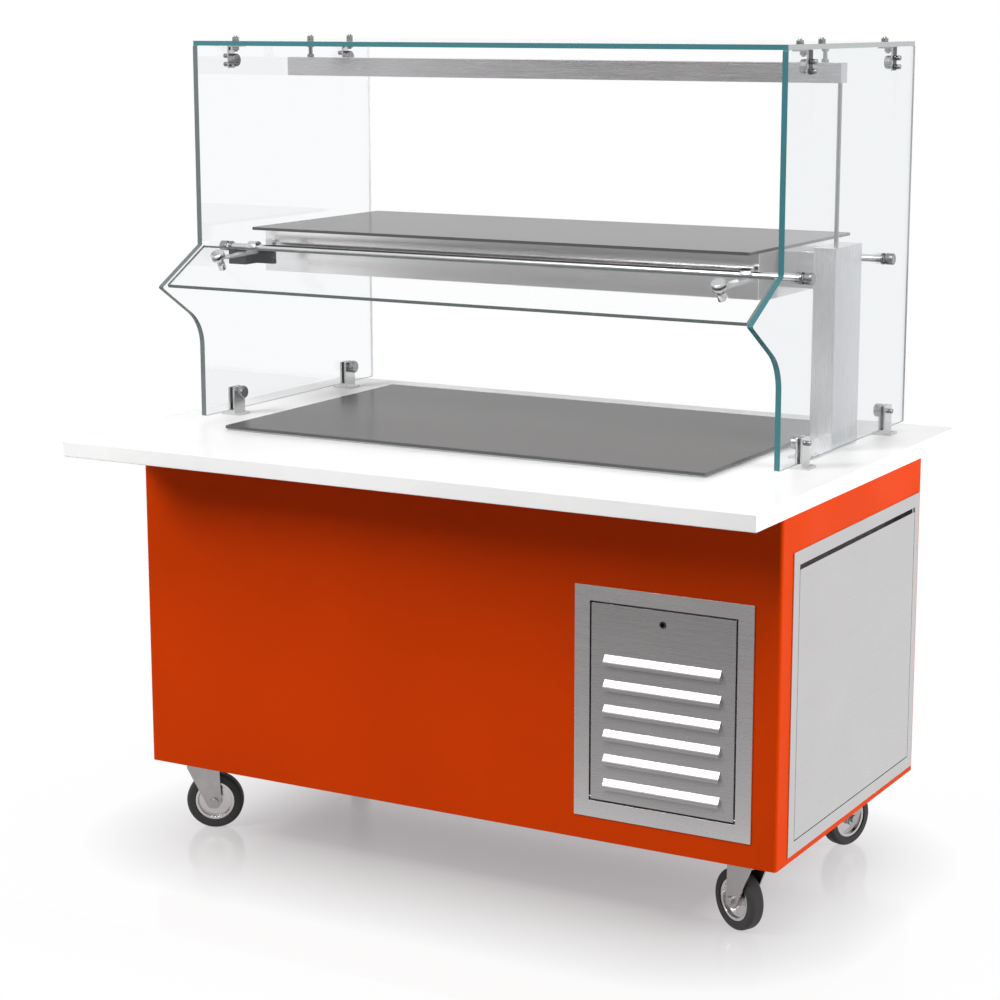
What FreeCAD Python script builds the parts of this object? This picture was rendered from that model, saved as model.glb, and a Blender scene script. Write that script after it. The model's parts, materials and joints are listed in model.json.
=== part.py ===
"""Mobile salad bar: a counter on castors with a cold glass deck and a glass gantry.

All lengths are in millimetres.  +Z is up, the long front faces -Y and the service end is +X.
The origin is on the floor, under the middle of the worktop.
"""
import FreeCAD, Part
import math
import os
from FreeCAD import Vector

# ---------------------------------------------------------------- driving dimensions
# Worktop and cabinet
cabinet_length = 1488.0
cabinet_depth = 750.0
worktop_side_overhang = 40.0
worktop_front_overhang = 218.0
worktop_rear_overhang = 92.0
worktop_thickness = 33.0
worktop_edge_radius = 2.0
panel_height = 711.0
panel_thickness = 1.5
cabinet_corner_radius = 7.0
panel_wrap = 20.0            # how far the front and rear panels fold round each corner
frame_tube = 25.0            # square tube of the inner frame
frame_inset = 2.0            # space between the inner frame and the panels

# Castors
wheel_diameter = 125.0
tyre_crown_gap = 16.7        # from the tyre to the fork's crown
tyre_width = 32.0
tyre_shoulder = 9.0
rim_diameter = 88.0
rim_wall = 7.0
rim_set_in = 2.0             # from the tyre's side to the rim's
rim_web = 8.0
hub_diameter = 30.0
axle_diameter = 10.0
axle_head = (17.0, 6.0)      # diameter, height
castor_offset = 38.0         # from the swivel axis to the axle
castor_plate = (105.0, 85.0, 4.0)
castor_plate_corner = 8.0
race_diameter = 52.0
race_height = 9.0
race_chamfer = 3.0
king_pin_diameter = 12.0
king_head = (20.0, 3.0)      # diameter, height
fork_plate = 3.0
fork_crown = 4.0
fork_side_gap = 3.0          # between the tyre and each fork leg
fork_top_reach = (24.0, 50.0)        # a leg's top, ahead of the king pin and behind it
fork_foot = ((15.0, 4.0), (10.0, -16.0), (-13.0, -15.0))    # its lower corners, from the axle
fork_corner_radii = (4.0, 14.0, 12.0, 10.0, 10.0)
fork_crown_reach = (20.0, 46.0)
swivel_gap = 0.3             # between the fork and what it turns on, and beside the hub
castor_inset_y = 62.0
front_castor_inset_x = 76.0
rear_castor_inset_x = 100.0

# Deck
deck_left_margin = 100.0     # from the left end glass to the deck
deck_right_margin = 111.0    # from the right end glass
deck_front_margin = 55.0     # from the cabinet's front to the deck
deck_rear_margin = 20.0
deck_corner_radius = 6.0
deck_glass_chamfer = 1.0
opening_corner_radius = 12.0
deck_glass_thickness = 6.0
deck_frame_height = 4.0
deck_frame_inset = 3.0       # the glass stands over the frame by this much
deck_frame_width = 26.0
cold_plate_thickness = 5.0
opening_clearance = 1.0      # round the pan and the cold plate
coil_diameter = 10.0
coil_pitch = 70.0
coil_wall_gap = 4.0
pan_depth = 95.0
pan_wall = 20.0
pan_flange = 18.0
pan_flange_thickness = 2.0

# Louvred door in the front
louvre_frame_right_margin = 53.0    # from the cabinet's right end to the frame
louvre_frame_width = 383.0
louvre_frame_lift = 49.0            # from the cabinet's bottom edge to the frame
louvre_frame_height = 472.0
louvre_border_side = 33.0
louvre_border_bottom = 34.0
louvre_border_top = 30.0
bezel_proud = 2.5
louvre_door_gap = 4.0
side_door_gap = 2.0
return_thickness = 2.0
return_depth = 25.0
stop_width = 8.0
door_sheet = 1.5
louvre_door_depth = 20.0
louvre_count = 6
louvre_width = 251.0
louvre_height = 21.0
louvre_pitch = 50.6
louvre_projection = 9.0
louvre_lip = 7.0             # the upright strip at a hood's lower edge
louvre_round = 10.0
louvre_wall = 1.2
louvre_slit_drop = (1.8, 3.0)        # from the hood's top to the slit, at the sheet's back and face
top_louvre_below_door_top = 101.0
lock_below_door_top = 27.0
lock_diameter = 14.0
lock_proud = 0.8
key_square = 8.0
key_depth = 8.0
cam_gap = 0.5                # from the frame's stop to the cam
cam_length = 25.0
cam_width = 12.0
cam_thickness = 3.0
hinge_pin_diameter = 4.0
pivot_inset = 4.0            # from a door's outer face and edge to its pivot
pin_reach = 6.0              # how far a hinge pin goes into a door

# Steel door in the right end
side_frame_front_margin = 53.0      # from the cabinet's front to the frame
side_frame_rear_margin = 15.0
side_frame_lift = 13.0              # from the cabinet's bottom edge to the frame
side_frame_height = 605.0
side_border_front = 28.0
side_border_rear = 24.0
side_border_bottom = 26.0
side_border_top = 28.0
finger_slot = 10.0
side_door_depth = 24.0
side_return_depth = 30.0

# Glass gantry
gantry_end_margin = 63.0     # from the cabinet's end to the outside of the glass
glass_thickness = 12.0
top_glass_thickness = 10.0
glass_lift = 12.0            # from the worktop to the end panels
glass_height = 794.0
glass_rear_reach = 53.0      # from the cabinet's back to the glass's back edge
glass_depth = 676.0
kink_height = 385.0          # above the worktop
tip_height = 306.0
tip_reach = 143.0
notch_height = 216.0         # where the lower slope meets the front edge
notch_radius = 90.0
glass_corner_radius = 3.0
fitting_rear_inset = 108.0
fitting_spacing = 450.0

# Tie rods and their knobs
rod_diameter = 16.0
rod_rear_inset = 136.0       # from the glass's back edge to the rear rod
rod_spacing = 435.0
rod_height = 373.0           # above the worktop
rod_hole_clearance = 0.5
rod_knob_diameter = 24.0
rod_knob_length = 18.0
rod_knob_chamfer = 1.5
rod_knob_depth = 10.8        # how far a rod goes into its knob
rod_washer = 4.0

# Slanted nose pane and its clamps
nose_glass_thickness = 8.0
nose_length = 151.0
nose_side_gap = 5.0
nose_top_gap = 2.0           # from the kink to the pane's upper edge
nose_edge_radius = 1.0
clamp_left_margin = 62.0     # from the left end glass to the clamp
clamp_right_margin = 109.0
clamp_width = 22.0
collar_diameter = 28.0
jaw_from_edge = 34.0         # from the kink to the jaws, along the pane
jaw_diameter = 30.0
jaw_thickness = 5.0
jaw_chamfer = 1.5
jaw_bite = 1.0               # how far an arm and a bolt go into their jaws
clamp_arm_thickness = 8.0
clamp_arm_drop = 10.0        # from the middle of the rod to the arm's root
clamp_arm_foot = 12.0        # the arm's width along the pane, above the jaw's middle
clamp_bolt_diameter = 8.0
clamp_knob_diameter = 16.0
clamp_knob_length = 16.0
clamp_knob_gap = 2.0         # from the arm to the knob
running_clearance = 0.05

# Mid shelf
shelf_left_margin = 69.0     # from the left end glass to the shelf
shelf_right_gap = 38.0       # from the shelf to the upright
shelf_rod_gap = 33.0         # from the middle of each rod to the shelf's body
shelf_body_height = 94.0
shelf_wall = 1.5
shelf_glass_thickness = 6.0
shelf_glass_depth = 510.0
shelf_glass_corner = 6.0
shelf_over_rods = 46.0       # from the middle of the rods to the top of the shelf glass
shelf_glass_side_overhang = 2.0
bracket_block_length = 45.0
bracket_block_depth = 30.0
bracket_height = 31.0
bracket_plate = 5.0
bracket_end_gap = 5.0        # from the end glass
bracket_overlap = 25.0       # how far the bracket plate lies along the shelf
arm_wall = 2.0
arm_inset = 10.0             # from the upright's faces to the support arm
arm_height = 74.0

# Service upright
upright_margin = 11.0        # from the upright to the right end glass
upright_width = 50.0
upright_depth = 140.0
upright_set_back = 30.0      # from the middle of the gantry to the upright's middle
upright_wall = 1.5
upright_below_shelf = 6.0    # from the top of the shelf glass to the top of the upright
upright_corner_radius = 3.0
foot_plate_side = 4.0        # how far the foot plate stands out at each side of the upright
foot_plate_front_reach = 100.0
foot_plate_rear_reach = 5.0
foot_plate_thickness = 4.0
foot_screw_diameter = 10.0
foot_screw_shank = 6.0
foot_screw_head = 3.0
foot_screw_inset = 14.0
foot_screw_spacing = 28.0
cable_hole_diameter = 30.0

# Light bar
bar_end_gaps = (2.0, 22.5)   # from the glass to the bar's left and right ends
bar_depth = 32.0
bar_height = 40.0
bar_wall = 1.5
bar_drop = 29.0              # from the top pane to the bar
bar_rod_diameter = 9.0
bar_rod_insets = (66.0, 76.0)        # from the outside of the glass, left and right
bar_rod_grip = 6.0           # how far a rod goes into the bar
bar_line_offset = 5.0        # the bar stands this far behind the middle of the gantry
diffuser_thickness = 3.0
diffuser_lift = 1.0          # from the bar's underside to the diffuser
led_board = (18.0, 2.0)
led_board_drop = 0.5         # from the end of the rods to the board
led_board_end_gap = 20.0
led_rib_width = 8.0
led_rib_margins = (80.0, 120.0)      # from the bar's left end, and from the conduit
conduit_diameter = 9.0
conduit_bore = 6.0
conduit_reach = 5.5          # how far the conduit goes into the bar
conduit_inset = 19.5         # from the upright's right face to the conduit's middle

# Glass feet and top brackets
foot_base = (50.0, 40.0, 5.0)
cheek_height = 57.0
cheek_thickness = 5.0
cheek_gap = 0.3
foot_knob_height = 50.0      # above the worktop
knob_diameter = 28.0
knob_length = 15.0
knob_round = 3.0
clamp_screw_diameter = 6.0
clamp_screw_head = (10.0, 9.0)       # diameter, height
bracket_leg = (24.0, 49.0, 4.0)
top_bracket_reach = 34.0
bracket_knob_drop = 32.0
bracket_screw_spacing = 18.0
stud_diameter = 8.0
nut_diameter = 14.0
nut_height = 7.0
nut_inset = 27.0             # from the outside of the glass to the top nuts
bolt_stand = 3.0             # how far a bolt end stands out of its nut

# Cooling unit
unit_right_margin = 109.0    # from the cabinet's right end to the tray
unit_length = 300.0
unit_front_margin = 42.0
unit_depth = 350.0
tray_wall = 2.0
tray_lip = 20.0
condenser = (260.0, 60.0, 220.0)
condenser_setback = 18.0
condenser_rim = 8.0
fin_slots = 12
fin_slot = (6.0, 8.0)        # depth, height
fin_margin = 14.0
fan_diameter = 180.0
fan_hub_diameter = 60.0
fan_blades = 5
fan_blade_thickness = 3.0
fan_blade_chord = 64.0
fan_blade_pitch = 65.0       # degrees
fan_blade_root = 4.0         # how far a blade goes into the hub
fan_blade_proud = 2.0        # how far the blades stand out of the hub, along the shaft
fan_arm_gap = 4.0            # from the hub to the motor's arms
fan_depth = 24.0
shroud_depth = 40.0
shroud_clearance = 5.0
motor_diameter = 66.0
motor_length = 50.0
motor_arm = (12.0, 4.0)      # height, thickness
motor_shaft_end_gap = 5.0    # from the condenser to the shaft's end
motor_shaft_diameter = 8.0
compressor_diameter = 130.0
compressor_height = 170.0
compressor_foot = (160.0, 110.0, 6.0)
compressor_round = 30.0
compressor_rear_gap = 6.0    # from the tray's back edge to the foot
compressor_set_forward = 4.0

# ---------------------------------------------------------------- levels and lines
castor_height = (wheel_diameter + tyre_crown_gap + fork_crown + swivel_gap + race_height
                 + castor_plate[2])
cabinet_bottom = castor_height
worktop_bottom = cabinet_bottom + panel_height
worktop_top = worktop_bottom + worktop_thickness
worktop_length = cabinet_length + 2 * worktop_side_overhang
worktop_depth = worktop_front_overhang + cabinet_depth + worktop_rear_overhang
cabinet_front = -worktop_depth / 2 + worktop_front_overhang
cabinet_back = cabinet_front + cabinet_depth
cabinet_half = cabinet_length / 2

glass_back = cabinet_back + glass_rear_reach
glass_front = glass_back - glass_depth
glass_bottom = worktop_top + glass_lift
glass_top = glass_bottom + glass_height
glass_out = cabinet_half - gantry_end_margin
glass_in = glass_out - glass_thickness
fitting_lines = (glass_back - fitting_rear_inset - fitting_spacing, glass_back - fitting_rear_inset)
gantry_middle = sum(fitting_lines) / 2
rod_lines = (glass_back - rod_rear_inset - rod_spacing, glass_back - rod_rear_inset)
rod_z = worktop_top + rod_height
pane_top = glass_top + top_glass_thickness
foot_screw_levels = (worktop_top + foot_knob_height,)
bracket_screw_levels = (glass_top - bracket_knob_drop - bracket_screw_spacing / 2,
                        glass_top - bracket_knob_drop + bracket_screw_spacing / 2)

wheel_radius = wheel_diameter / 2
axle_z = wheel_radius

shelf_glass_top = rod_z + shelf_over_rods
shelf_body_top = shelf_glass_top - shelf_glass_thickness
shelf_body_bottom = shelf_body_top - shelf_body_height
shelf_front = rod_lines[0] + shelf_rod_gap
shelf_back = rod_lines[1] - shelf_rod_gap
upright_right = glass_in - upright_margin
upright_left = upright_right - upright_width
upright_middle = (upright_left + upright_right) / 2
upright_front = gantry_middle + upright_set_back - upright_depth / 2
upright_back = upright_front + upright_depth
upright_top = shelf_glass_top - upright_below_shelf
shelf_left = -glass_in + shelf_left_margin
shelf_right = upright_left - shelf_right_gap
bar_line = gantry_middle + bar_line_offset
conduit_x = upright_right - conduit_inset

deck_left = -glass_in + deck_left_margin
deck_right = glass_in - deck_right_margin
deck_front = cabinet_front + deck_front_margin
deck_back = cabinet_back - deck_rear_margin
deck_glass_bottom = worktop_top + deck_frame_height
opening_left = deck_left + deck_frame_inset + deck_frame_width
opening_right = deck_right - deck_frame_inset - deck_frame_width
opening_front = deck_front + deck_frame_inset + deck_frame_width
opening_back = deck_back - deck_frame_inset - deck_frame_width

parts = {}


# ---------------------------------------------------------------- helpers
def box(x0, x1, y0, y1, z0, z1):
    """A block between two corners."""
    return Part.makeBox(x1 - x0, y1 - y0, z1 - z0, Vector(x0, y0, z0))


def cylinder(radius, start, direction, length):
    return Part.makeCylinder(radius, length, Vector(*start), Vector(*direction))


def ring(outer, inner, start, direction, length):
    return cylinder(outer, start, direction, length).cut(cylinder(inner, start, direction, length))


def fused(solids):
    """One clean solid from several that touch or overlap."""
    whole = solids[0]
    for solid in solids[1:]:
        whole = whole.fuse(solid)
    return whole.removeSplitter()


def group(solids):
    return Part.makeCompound(solids)


def rounded_loop(points, radii, place):
    """A closed wire through 2-D points, with an arc at each corner that has a radius."""
    count = len(points)
    spans = []
    for i, point in enumerate(points):
        before = points[i - 1]
        after = points[(i + 1) % count]
        to_before = Vector(before[0] - point[0], before[1] - point[1], 0).normalize()
        to_after = Vector(after[0] - point[0], after[1] - point[1], 0).normalize()
        corner = Vector(point[0], point[1], 0)
        radius = radii[i]
        if radius <= 0:
            spans.append((corner, None, corner))
            continue
        half = to_before.getAngle(to_after) / 2
        reach = radius / math.tan(half)
        middle = (to_before + to_after).normalize()
        centre = corner + middle * (radius / math.sin(half))
        spans.append((corner + to_before * reach, centre - middle * radius, corner + to_after * reach))
    edges = []
    for i, (start, bulge, end) in enumerate(spans):
        if bulge is not None:
            edges.append(Part.Arc(place(start), place(bulge), place(end)).toShape())
        following = spans[(i + 1) % count][0]
        if end.distanceToPoint(following) > 1e-6:
            edges.append(Part.makeLine(place(end), place(following)))
    return Part.Wire(edges)


def plate_x(points, radii, x0, x1):
    """A plate whose outline is in Y and Z, from x0 to x1."""
    wire = rounded_loop(points, radii, lambda p: Vector(x0, p.x, p.y))
    return Part.Face(wire).extrude(Vector(x1 - x0, 0, 0))


def plate_z(points, radii, z0, z1):
    """A plate whose outline is in X and Y, from z0 to z1."""
    wire = rounded_loop(points, radii, lambda p: Vector(p.x, p.y, z0))
    return Part.Face(wire).extrude(Vector(0, 0, z1 - z0))


def rounded_block(x0, x1, y0, y1, z0, z1, radius):
    """A block with its four upright edges rounded."""
    return plate_z([(x0, y0), (x1, y0), (x1, y1), (x0, y1)], [radius] * 4, z0, z1)


def tube_ring(inset, z0, z1):
    """A rectangular frame of square tube inside the cabinet."""
    x = cabinet_half - panel_thickness - inset
    y0 = cabinet_front + panel_thickness + inset
    y1 = cabinet_back - panel_thickness - inset
    outer = box(-x, x, y0, y1, z0, z1)
    inner = box(-x + frame_tube, x - frame_tube, y0 + frame_tube, y1 - frame_tube, z0, z1)
    return outer.cut(inner)


# ---------------------------------------------------------------- cabinet
floor_pan_top = cabinet_bottom + panel_thickness
base_frame_top = floor_pan_top + frame_tube
upper_frame_bottom = worktop_bottom - frame_tube

louvre_frame_right = cabinet_half - louvre_frame_right_margin
louvre_frame_left = louvre_frame_right - louvre_frame_width
louvre_frame_bottom = cabinet_bottom + louvre_frame_lift
louvre_frame_top = louvre_frame_bottom + louvre_frame_height
louvre_open = (louvre_frame_left + louvre_border_side, louvre_frame_right - louvre_border_side,
               louvre_frame_bottom + louvre_border_bottom, louvre_frame_top - louvre_border_top)

side_frame_front = cabinet_front + side_frame_front_margin
side_frame_back = cabinet_back - side_frame_rear_margin
side_frame_bottom = cabinet_bottom + side_frame_lift
side_frame_top = side_frame_bottom + side_frame_height
side_open = (side_frame_front + side_border_front, side_frame_back - side_border_rear,
             side_frame_bottom + side_border_bottom, side_frame_top - side_border_top)


def cabinet():
    skin = rounded_block(-cabinet_half, cabinet_half, cabinet_front, cabinet_back,
                         cabinet_bottom, worktop_bottom, cabinet_corner_radius)
    hollow = rounded_block(-cabinet_half + panel_thickness, cabinet_half - panel_thickness,
                           cabinet_front + panel_thickness, cabinet_back - panel_thickness,
                           cabinet_bottom, worktop_bottom, cabinet_corner_radius - panel_thickness)
    shell = skin.cut(hollow)
    far = worktop_length
    front_seam = cabinet_front + panel_wrap
    rear_seam = cabinet_back - panel_wrap
    middle = (front_seam, rear_seam, 0, worktop_top)
    x0, x1, z0, z1 = louvre_open
    front = shell.common(box(-far, far, -far, front_seam, 0, worktop_top))
    parts["front_panel"] = front.cut(box(x0 - return_thickness, x1 + return_thickness,
                                         cabinet_front - 1, cabinet_front + panel_thickness + 1,
                                         z0 - return_thickness, z1 + return_thickness))
    parts["rear_panel"] = shell.common(box(-far, far, rear_seam, far, 0, worktop_top))
    parts["left_end_panel"] = shell.common(box(-far, 0, *middle))
    y0, y1, s0, s1 = side_open
    parts["right_end_panel"] = shell.common(box(0, far, *middle)).cut(
        box(cabinet_half - panel_thickness - 1, cabinet_half + 1, y0 - return_thickness,
            y1 + return_thickness, s0 - return_thickness, s1 + return_thickness))
    parts["floor_pan"] = hollow.common(box(-far, far, -far, far, cabinet_bottom, floor_pan_top))
    cross = []
    x = cabinet_half - panel_thickness - frame_inset
    y0 = cabinet_front + panel_thickness + frame_inset
    y1 = cabinet_back - panel_thickness - frame_inset
    for side in (-1, 1):
        line = side * (cabinet_half - (front_castor_inset_x + rear_castor_inset_x) / 2)
        cross.append(box(line - frame_tube / 2, line + frame_tube / 2, y0, y1,
                         floor_pan_top, base_frame_top))
    parts["base_frame"] = fused([tube_ring(frame_inset, floor_pan_top, base_frame_top)] + cross)
    posts = []
    for px in (-x, x - frame_tube):
        for py in (y0, y1 - frame_tube):
            posts.append(box(px, px + frame_tube, py, py + frame_tube,
                             base_frame_top, upper_frame_bottom))
    parts["corner_posts"] = group(posts)
    parts["upper_frame"] = tube_ring(frame_inset, upper_frame_bottom, worktop_bottom)


# ---------------------------------------------------------------- worktop and deck
def worktop():
    slab = box(-worktop_length / 2, worktop_length / 2, -worktop_depth / 2, worktop_depth / 2,
               worktop_bottom, worktop_top)
    slab = slab.makeFillet(worktop_edge_radius, slab.Edges)
    opening = rounded_block(opening_left, opening_right, opening_front, opening_back,
                            worktop_bottom, worktop_top, opening_corner_radius)
    cable_y = (upright_front + upright_back) / 2
    hole = cylinder(cable_hole_diameter / 2, (upright_middle, cable_y, worktop_bottom), (0, 0, 1),
                    worktop_thickness)
    parts["worktop"] = slab.cut(opening).cut(hole)


def deck():
    inset = deck_frame_inset
    frame = rounded_block(deck_left + inset, deck_right - inset, deck_front + inset,
                          deck_back - inset, worktop_top, deck_glass_bottom, deck_corner_radius)
    window = rounded_block(opening_left, opening_right, opening_front, opening_back,
                           worktop_top, deck_glass_bottom, opening_corner_radius)
    parts["deck_frame"] = frame.cut(window)
    glass = rounded_block(deck_left, deck_right, deck_front, deck_back, deck_glass_bottom,
                          deck_glass_bottom + deck_glass_thickness, deck_corner_radius)
    top_edges = [e for e in glass.Edges
                 if e.BoundBox.ZMin > deck_glass_bottom + deck_glass_thickness - 0.01]
    parts["deck_glass"] = glass.makeChamfer(deck_glass_chamfer, top_edges)
    clear = opening_clearance
    plate = (opening_left + clear, opening_right - clear, opening_front + clear,
             opening_back - clear)
    plate_bottom = deck_glass_bottom - cold_plate_thickness
    corner = opening_corner_radius - clear
    parts["cold_plate"] = rounded_block(*plate, plate_bottom, deck_glass_bottom, corner)
    coil(plate, plate_bottom - coil_diameter / 2)
    pan_top = plate_bottom
    pan_bottom = pan_top - pan_depth
    pan = rounded_block(*plate, pan_bottom, pan_top, corner)
    x0, x1, y0, y1 = plate
    hollow = box(x0 + pan_wall, x1 - pan_wall, y0 + pan_wall, y1 - pan_wall,
                 pan_bottom + pan_wall, pan_top)
    flange = box(x0 - pan_flange, x1 + pan_flange, y0 - pan_flange, y1 + pan_flange,
                 worktop_bottom - pan_flange_thickness, worktop_bottom)
    parts["insulated_pan"] = fused([pan, flange]).cut(hollow)


def coil(plate, z):
    """The evaporator: parallel tubes under the cold plate, joined by half-turn bends."""
    x0, x1, y0, y1 = plate
    radius = coil_diameter / 2
    bend = coil_pitch / 2
    margin = pan_wall + radius + coil_wall_gap
    start = x0 + margin + bend
    end = x1 - margin - bend
    runs = int((y1 - y0 - 2 * margin) // coil_pitch) + 1
    first = (y0 + y1 - (runs - 1) * coil_pitch) / 2
    edges = []
    for i in range(runs):
        y = first + i * coil_pitch
        a, b = (start, end) if i % 2 == 0 else (end, start)
        edges.append(Part.makeLine(Vector(a, y, z), Vector(b, y, z)))
        if i < runs - 1:
            side = 1 if i % 2 == 0 else -1
            edges.append(Part.Arc(Vector(b, y, z), Vector(b + side * bend, y + bend, z),
                                  Vector(b, y + coil_pitch, z)).toShape())
    path = Part.Wire(edges)
    section = Part.Wire(Part.makeCircle(radius, Vector(start, first, z), Vector(1, 0, 0)))
    parts["evaporator_coil"] = path.makePipeShell([section], True, False)


# ---------------------------------------------------------------- louvred door
def bezel_frame(outer, opening, face, inward, depth, along_x):
    """A flat border with a return into the cabinet and a stop behind the door.

    outer and opening are (low, high, bottom, top); face is the panel's outer face and inward
    is the direction into the cabinet, +1 or -1.
    """
    def block(limits, near, far):
        low, high = sorted((near, far))
        if along_x:
            return box(limits[0], limits[1], low, high, limits[2], limits[3])
        return box(low, high, limits[0], limits[1], limits[2], limits[3])

    def grown(limits, by):
        return (limits[0] - by, limits[1] + by, limits[2] - by, limits[3] + by)

    front = face - inward * bezel_proud
    deep = face + inward * depth
    sleeve = grown(opening, return_thickness)
    border = block(outer, front, face)
    tube = block(sleeve, front, deep)
    stop_hole = block(grown(opening, -stop_width), front, deep)
    pocket = block(opening, front, deep - inward * return_thickness)
    return fused([border, tube]).cut(pocket).cut(stop_hole)


louvre_face = cabinet_front - bezel_proud
louvre_door_x = (louvre_open[0] + louvre_door_gap, louvre_open[1] - louvre_door_gap)
louvre_door_z = (louvre_open[2] + louvre_door_gap, louvre_open[3] - louvre_door_gap)
louvre_pivot = (louvre_face + pivot_inset, louvre_door_z[0] + pivot_inset)
lock_x = (louvre_door_x[0] + louvre_door_x[1]) / 2
lock_z = louvre_door_z[1] - lock_below_door_top


def louvre_hood(z_top, x0, x1):
    """One pressed louvre: a sloped hood with a rounded front, open at its lower side."""
    out = louvre_face - louvre_projection
    low = z_top - louvre_height
    bend = low + louvre_lip
    outer = plate_x([(louvre_face, z_top), (out, bend), (out, low), (louvre_face, low)],
                    [0, louvre_round, 0, 0], x0, x1)
    wall = louvre_wall
    back = louvre_face + door_sheet
    at_back, at_face = louvre_slit_drop
    inner = plate_x([(back, z_top - at_back), (louvre_face, z_top - at_face), (out + wall, bend - wall),
                     (out + wall, low), (back, low)], [0, 0, louvre_round - wall, 0, 0],
                    x0 + wall, x1 - wall)
    return outer, inner


def louvre_door():
    outer = (louvre_frame_left, louvre_frame_right, louvre_frame_bottom, louvre_frame_top)
    frame = bezel_frame(outer, louvre_open, cabinet_front, 1, return_depth, True)
    x0, x1 = louvre_door_x
    z0, z1 = louvre_door_z
    back = louvre_face + louvre_door_depth
    pan = box(x0, x1, louvre_face, back, z0, z1)
    pan = pan.cut(box(x0 + door_sheet, x1 - door_sheet, louvre_face + door_sheet, back,
                      z0 + door_sheet, z1 - door_sheet))
    middle = (x0 + x1) / 2
    for i in range(louvre_count):
        z_top = z1 - top_louvre_below_door_top - i * louvre_pitch
        hood, inside = louvre_hood(z_top, middle - louvre_width / 2, middle + louvre_width / 2)
        pan = pan.fuse(hood).cut(inside)
    pan = pan.cut(cylinder(lock_diameter / 2 + running_clearance, (lock_x, louvre_face - 1, lock_z),
                           (0, 1, 0), 1 + louvre_door_depth))
    y, z = louvre_pivot
    hole = cylinder(hinge_pin_diameter / 2 + running_clearance, (x0 - 1, y, z), (1, 0, 0), x1 - x0 + 2)
    parts["louvre_door"] = pan.cut(hole).removeSplitter()
    pin_start = louvre_open[0] - return_thickness
    pin_end = louvre_open[1] + return_thickness
    length = return_thickness + louvre_door_gap + pin_reach
    pins = [cylinder(hinge_pin_diameter / 2, (pin_start, y, z), (1, 0, 0), length),
            cylinder(hinge_pin_diameter / 2, (pin_end, y, z), (-1, 0, 0), length)]
    for pin in pins:
        frame = frame.cut(pin)
    parts["louvre_frame"] = frame
    return pins


def lock():
    stop_back = cabinet_front + return_depth
    cam_front = stop_back + cam_gap
    barrel_front = louvre_face - lock_proud
    barrel = cylinder(lock_diameter / 2, (lock_x, barrel_front, lock_z), (0, 1, 0),
                      cam_front + cam_thickness - barrel_front)
    half = key_square / 2
    key = box(lock_x - half, lock_x + half, barrel_front, barrel_front + key_depth, lock_z - half,
              lock_z + half)
    cam = box(lock_x - cam_width / 2, lock_x + cam_length, cam_front, cam_front + cam_thickness,
              lock_z - cam_width / 2, lock_z + cam_width / 2)
    parts["lock_barrel"] = fused([barrel, cam]).cut(key)


# ---------------------------------------------------------------- door in the right end
side_face = cabinet_half + bezel_proud
side_door_y = (side_open[0] + side_door_gap, side_open[1] - side_door_gap)
side_door_z = (side_open[2] + side_door_gap, side_open[3] - finger_slot)
side_pivot = (side_face - pivot_inset, side_door_y[1] - pivot_inset)


def side_door():
    outer = (side_frame_front, side_frame_back, side_frame_bottom, side_frame_top)
    frame = bezel_frame(outer, side_open, cabinet_half, -1, side_return_depth, False)
    y0, y1 = side_door_y
    z0, z1 = side_door_z
    back = side_face - side_door_depth
    pan = box(back, side_face, y0, y1, z0, z1)
    pan = pan.cut(box(back, side_face - door_sheet, y0 + door_sheet, y1 - door_sheet,
                      z0 + door_sheet, z1 - door_sheet))
    x, y = side_pivot
    hole = cylinder(hinge_pin_diameter / 2 + running_clearance, (x, y, z0 - 1), (0, 0, 1), z1 - z0 + 2)
    parts["side_door"] = pan.cut(hole)
    low_start = side_open[2] - return_thickness
    high_start = side_open[3] + return_thickness
    pins = [cylinder(hinge_pin_diameter / 2, (x, y, low_start), (0, 0, 1),
                     return_thickness + side_door_gap + pin_reach),
            cylinder(hinge_pin_diameter / 2, (x, y, high_start), (0, 0, -1),
                     return_thickness + finger_slot + pin_reach)]
    for pin in pins:
        frame = frame.cut(pin)
    parts["side_door_frame"] = frame
    return pins


# ---------------------------------------------------------------- glass gantry
kink = (glass_front, worktop_top + kink_height)
tip = (glass_front - tip_reach, worktop_top + tip_height)


def rod_holes(x0, x1):
    radius = rod_diameter / 2 + rod_hole_clearance
    return [cylinder(radius, (x0, y, rod_z), (1, 0, 0), x1 - x0) for y in rod_lines]


def screw_holes(x0, x1):
    radius = clamp_screw_diameter / 2
    holes = []
    for y in fitting_lines:
        for z in foot_screw_levels + bracket_screw_levels:
            holes.append(cylinder(radius, (x0, y, z), (1, 0, 0), x1 - x0))
    return holes


def gantry_glass():
    notch = (glass_front, worktop_top + notch_height)
    outline = [(glass_front, glass_bottom), notch, tip, kink, (glass_front, glass_top),
               (glass_back, glass_top), (glass_back, glass_bottom)]
    small = glass_corner_radius
    radii = [small, notch_radius, small, small, small, small, small]
    for name, side in (("end_glass_left", -1), ("end_glass_right", 1)):
        x0, x1 = sorted((side * glass_in, side * glass_out))
        panel = plate_x(outline, radii, x0, x1)
        for hole in rod_holes(x0, x1) + screw_holes(x0, x1):
            panel = panel.cut(hole)
        parts[name] = panel
    pane = rounded_block(-glass_out, glass_out, glass_front, glass_back, glass_top, pane_top, small)
    for x, y, radius in top_bolts():
        pane = pane.cut(cylinder(radius, (x, y, glass_top), (0, 0, 1), top_glass_thickness))
    parts["top_glass"] = pane


def top_bolts():
    """Centre and radius of each bolt or rod through the top pane."""
    bolts = []
    for side, inset in zip((-1, 1), bar_rod_insets):
        for y in fitting_lines:
            bolts.append((side * (glass_out - nut_inset), y, stud_diameter / 2))
        bolts.append((side * (glass_out - inset), bar_line, bar_rod_diameter / 2))
    return bolts


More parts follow.
